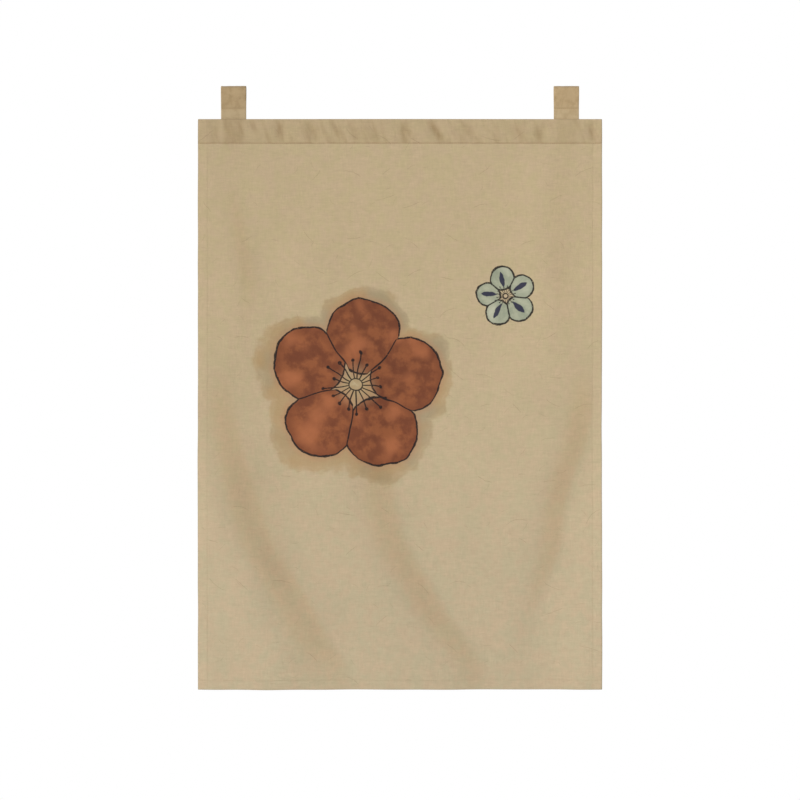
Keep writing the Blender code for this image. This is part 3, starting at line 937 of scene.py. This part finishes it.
def broad_tone_and_shade(across, drop, to_side, flank):
    """What is added to the cloth's tone over wide areas: its hems are paler, and a painted highlight
    makes the left edge paler further down, on the key light's side; painted shade makes the foot darker
    towards the right, and the folds' steep flanks get painted light to the left and painted shade at the
    right of the foot."""
    pale = to_side.rise(HEM + 0.004, HEM - 0.004) * 0.03
    # Painted highlight along the left edge, growing further down
    pale = pale + to_side.rise(0.070, 0.010) * drop.rise(0.10, 0.75) * across.rise(0.40, -0.40) * 0.035
    # Painted shade over the foot, towards the right, and on the folds' flanks
    foot_shade = drop.rise(0.55, 1.15) * across.rise(-0.30, 0.05) * 0.035
    deep = flank * (across.rise(-0.25, 0.25) * drop.rise(0.80, 1.00) * 0.035 - 0.015)
    return pale - foot_shade - deep


def curtain_material(name, tone, printed):
    """Oatmeal cloth, paler towards its foot, browner in the heading, with painted warm shade on the
    folds' flanks that face away from the key light, painted shade in the heading's puckers, along the
    seams and at the rim, soft seams, slubs, hairs and the flowers. Tone is how light it is as a whole;
    printed is how strongly the flowers show, and the folds' painted warm shade with them."""
    bench = Bench(name)
    across, up = bench.layout()
    drop = -up
    to_side = WIDTH / 2 - abs(across)
    flank = bench.attribute("flank")
    ridge, slub = weave(bench, across, drop)
    patch = bench.noise(across / 0.16, drop / 0.16, 2.0, 0.5, 2.0)
    blotchy = bench.noise(across / 0.012, drop / 0.022, 3.0, 0.6, 13.0)
    rumple = bench.noise(across / 0.020, drop / 0.024, 2.0, 0.5, 29.0)
    uneven = bench.noise(across / 0.022, drop / 0.022, 2.0, 0.5, 19.0)
    cloudy = bench.noise(across / 0.014, drop / 0.011, 3.0, 0.6, 23.0) - 0.5

    colour = mottled(bench, across, drop, ROSY, GREENISH)
    foot = mottled(bench, across, drop, PALE_ROSY, PALE_GREENISH)
    colour = bench.mix(drop.rise(0.15, 1.15), colour, foot)
    colour = heading_tone_and_shade(bench, across, drop, blotchy, colour)
    # Painted shade along the heading's stitch groove
    colour = bench.mix((drop - BAND).bump(0.0024) * (0.05 + 0.6 * uneven), colour, screen(*SEAM_SHADE))

    shade = 0.985 + slub * 0.20 + cloudy * 0.13 + (patch - 0.5) * 0.05
    shade = shade + broad_tone_and_shade(across, drop, to_side, flank)
    colour = bench.shade(colour, shade * tone * seam_and_rim_shade(to_side, drop, uneven))
    # Painted warm shade on the folds' flanks that face away from the key light
    warm_shade = flank * (0.4 + 1.2 * blotchy) * printed
    colour = bench.mix(warm_shade, colour, (*FOLD_SHADE_TINT, 1.0), blend="MULTIPLY")
    for layer in HAIRS:
        colour = bench.mix(hair_cover(bench, layer, across, drop), colour, screen(*HAIR))
    for flower in FLOWERS:
        colour = paint_flower(bench, flower, across, drop, colour, printed)
    colour = bench.shade(colour, 1.0 + slub * 0.08)
    height = ridge * WEAVE_RELIEF + slub * SLUB_RELIEF + rumple * RUMPLE_RELIEF
    return bench.finish(colour, height, CLOTH_ROUGHNESS, CLOTH_SHEEN)


def strap_material():
    """The same cloth for the tabs: darker in patches, most of all above their cross seam, lighter below
    it, with a soft line of painted shade along the seam's groove, and a little darker on the left tab."""
    bench = Bench("tab_cloth")
    across, along = bench.layout()
    z = bench.object_place()[2]
    ridge, slub = weave(bench, across, along)
    blotchy = bench.noise(across / 0.016, along / 0.020, 3.0, 0.6, 5.0)
    below = z.rise(-TAB_SEAM + 0.012, -TAB_SEAM - 0.012)
    colour = bench.mix(below, screen(*TAB), screen(*TAB_FOOT))
    # Painted shade along the cross seam's groove
    seam_groove_shade = (z + TAB_SEAM - 0.0008).bump(0.0042) * (0.10 + 0.40 * blotchy)
    patches_and_seam_shade = (blotchy.rise(0.40, 0.72) * 0.42 * (1.0 - below * 0.35)).most(seam_groove_shade)
    colour = bench.mix(patches_and_seam_shade, colour, screen(*SHADE_AND_SMUDGE))
    shade = 0.97 + across.rise(-0.1, 0.1) * 0.06 + slub * 0.14
    colour = bench.shade(colour, shade)
    height = ridge * WEAVE_RELIEF + slub * STRAP_SLUB_RELIEF
    return bench.finish(colour, height, CLOTH_ROUGHNESS, CLOTH_SHEEN)


def thread_material(name, dark, light):
    """Cotton thread between two tones, with its twist as fine slanting bands."""
    bench = Bench(name)
    x, y, z = bench.object_place()
    twist = ((x + y + z) * (2 * np.pi / TWIST)).sin()
    tone = bench.noise(x / 0.02, z / 0.02, 2.0, 0.5, 3.0)
    colour = bench.mix(tone.rise(0.3, 0.7), screen(*dark), screen(*light))
    colour = bench.shade(colour, 1.0 + twist * 0.06)
    return bench.finish(colour, twist * TWIST_RELIEF, THREAD_ROUGHNESS, THREAD_SHEEN)


def floor_material():
    """A matte pale floor, very faintly clouded."""
    bench = Bench("floor")
    x, y, _ = bench.object_place()
    tone = bench.noise(x / 0.9, y / 0.9, 2.0, 0.5, 1.0)
    colour = bench.mix(tone, screen(*FLOOR_DARK), screen(*FLOOR_LIGHT))
    return bench.finish(colour, None, FLOOR_ROUGHNESS)


def add_light(name, kind, place, size, power):
    """A soft light at a place, turned to face the middle of the cloth. A sun's size is its angle."""
    light = bpy.data.lights.new(name, kind)
    if kind == "SUN":
        light.angle = size
    else:
        light.shape = "SQUARE"
        light.size = size
    light.energy = power
    obj = bpy.data.objects.new(name, light)
    obj.location = place
    toward = Vector((0.0, 0.0, TOP_Z - DROP / 2)) - Vector(place)
    obj.rotation_euler = toward.to_track_quat("-Z", "Y").to_euler()
    bpy.context.scene.collection.objects.link(obj)


def make_studio():
    """A pale floor well below the cloth, soft lights and an even white surrounding, which the camera
    sees at full white and the cloth is lit by at a lower level."""
    x, y = np.meshgrid(FLOOR_ACROSS, FLOOR_DEEP)
    points = np.stack([x, y, 0 * x + TOP_Z - DROP - FLOOR_BELOW], axis=-1)
    floor = add_mesh("floor", points, [[0, 1, 3, 2]])
    floor.data.materials.append(floor_material())

    for light in LIGHTS:
        add_light(*light)

    world = bpy.data.worlds.new("studio")
    bpy.context.scene.world = world
    world.use_nodes = True
    nodes, links = world.node_tree.nodes, world.node_tree.links
    background = nodes["Background"]
    background.inputs["Color"].default_value = (1.0, 1.0, 1.0, 1.0)
    seen = nodes.new("ShaderNodeLightPath")
    level = nodes.new("ShaderNodeMix")
    level.inputs[2].default_value = AMBIENT
    level.inputs[3].default_value = 1.0
    links.new(seen.outputs["Is Camera Ray"], level.inputs[0])
    links.new(level.outputs[0], background.inputs["Strength"])
    bpy.context.scene.view_settings.view_transform = "Standard"


def make_camera():
    """A long lens square to the cloth, so that the picture is nearly free of perspective."""
    picture_width = PICTURE * METRES_PER_PIXEL
    camera = bpy.data.cameras.new("camera")
    camera.sensor_width = 36.0
    camera.lens = camera.sensor_width * CAMERA_AWAY / picture_width
    camera.clip_end = 100.0
    obj = bpy.data.objects.new("camera", camera)
    obj.location = (0, FRONT_Y - CAMERA_AWAY, TOP_Z - (PICTURE / 2 - TOP_PIXEL) * METRES_PER_PIXEL)
    obj.rotation_euler = (np.pi / 2, 0, 0)
    bpy.context.scene.collection.objects.link(obj)
    bpy.context.scene.camera = obj


def main():
    """Make every piece, give it its cloth or thread, hang it on the root body, and hide the solids that
    the cloth and tabs replace.
    """
    make_camera()
    curtain = make_curtain()
    curtain.data.materials.append(curtain_material("curtain_face", 1.0, printed=1.0))
    curtain.data.materials.append(curtain_material("curtain_wrong_side", 0.97, printed=0.22))
    strap_cloth = strap_material()
    tabs = [make_tab(*tab) for tab in TABS]
    for tab in tabs:
        tab.data.materials.append(strap_cloth)
    seams = make_seams()
    dark_thread = thread_material("dark_thread", *THREAD_DARK)
    pale_thread = thread_material("pale_thread", *THREAD_PALE)
    for piece in seams:
        strong = piece.name in ("heading_seam", "tab_seams")
        piece.data.materials.append(dark_thread if strong else pale_thread)
    make_studio()

    for piece in (curtain, *tabs, *seams):
        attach(piece, "root")
    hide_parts("panel", "heading")
    for tab in tabs:
        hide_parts(tab.name.replace("strap", "tab"))


main()
